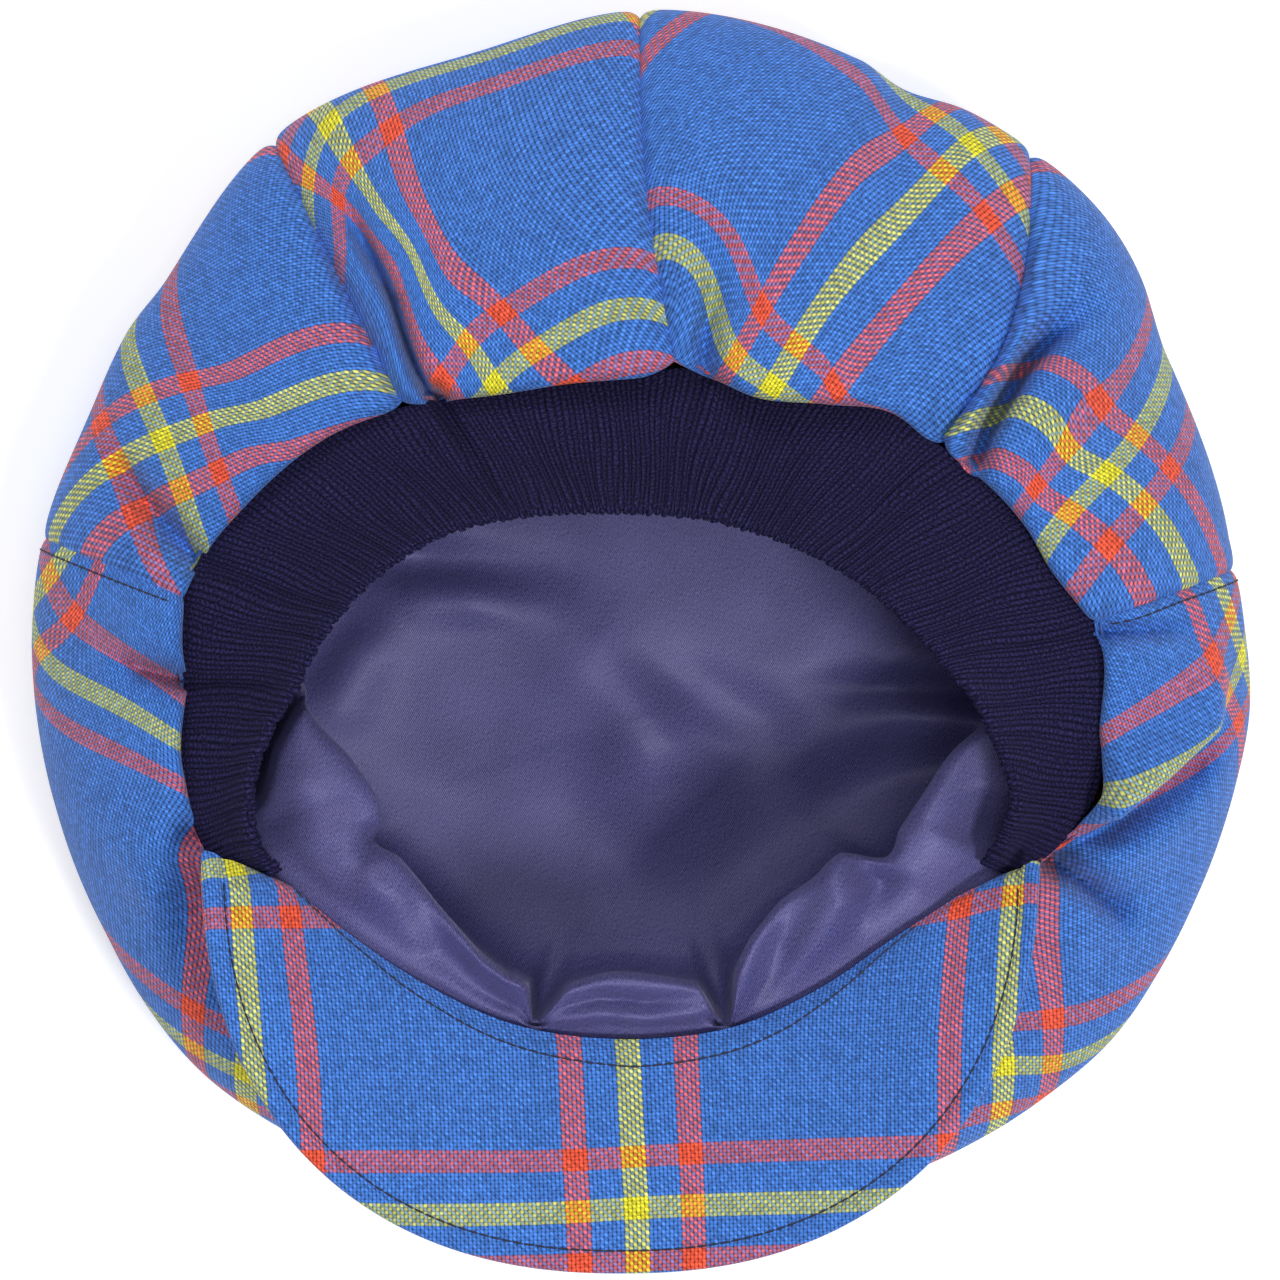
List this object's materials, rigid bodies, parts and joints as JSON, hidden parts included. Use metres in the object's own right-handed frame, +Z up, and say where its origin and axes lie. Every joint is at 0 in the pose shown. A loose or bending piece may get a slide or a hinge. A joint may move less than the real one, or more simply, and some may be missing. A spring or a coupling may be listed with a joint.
{
  "type": "newsboy cap",
  "caption": "Soft tartan newsboy cap with a knitted band, a loose lining and a stiff peak, lying on its crown with the head opening up.",
  "frame": {"origin": "middle of the cap's footprint, on the surface that the crown lies on", "axes": "+X to the right of the opening seen from above with the peak towards the viewer, +Y towards the back of the cap, +Z up out of the head opening"},
  "size_m": [0.2746, 0.28, 0.0961],
  "materials": {
    "tartan_cloth": "plain-woven blue tartan with red and yellow stripes, matte",
    "navy_knit": "ribbed knit, dark navy, soft and matte",
    "satin_lining": "thin indigo satin with a soft sheen",
    "dark_thread": "dark navy sewing thread"
  },
  "bodies": {
    "root": {"front_panel": "tartan_cloth", "rear_panel_right": "tartan_cloth", "rear_panel_middle_right": "tartan_cloth", "rear_panel_middle_left": "tartan_cloth", "rear_panel_left": "tartan_cloth", "knit_band": "navy_knit", "lining": "satin_lining", "peak": "tartan_cloth"}
  },
  "joints": []
}
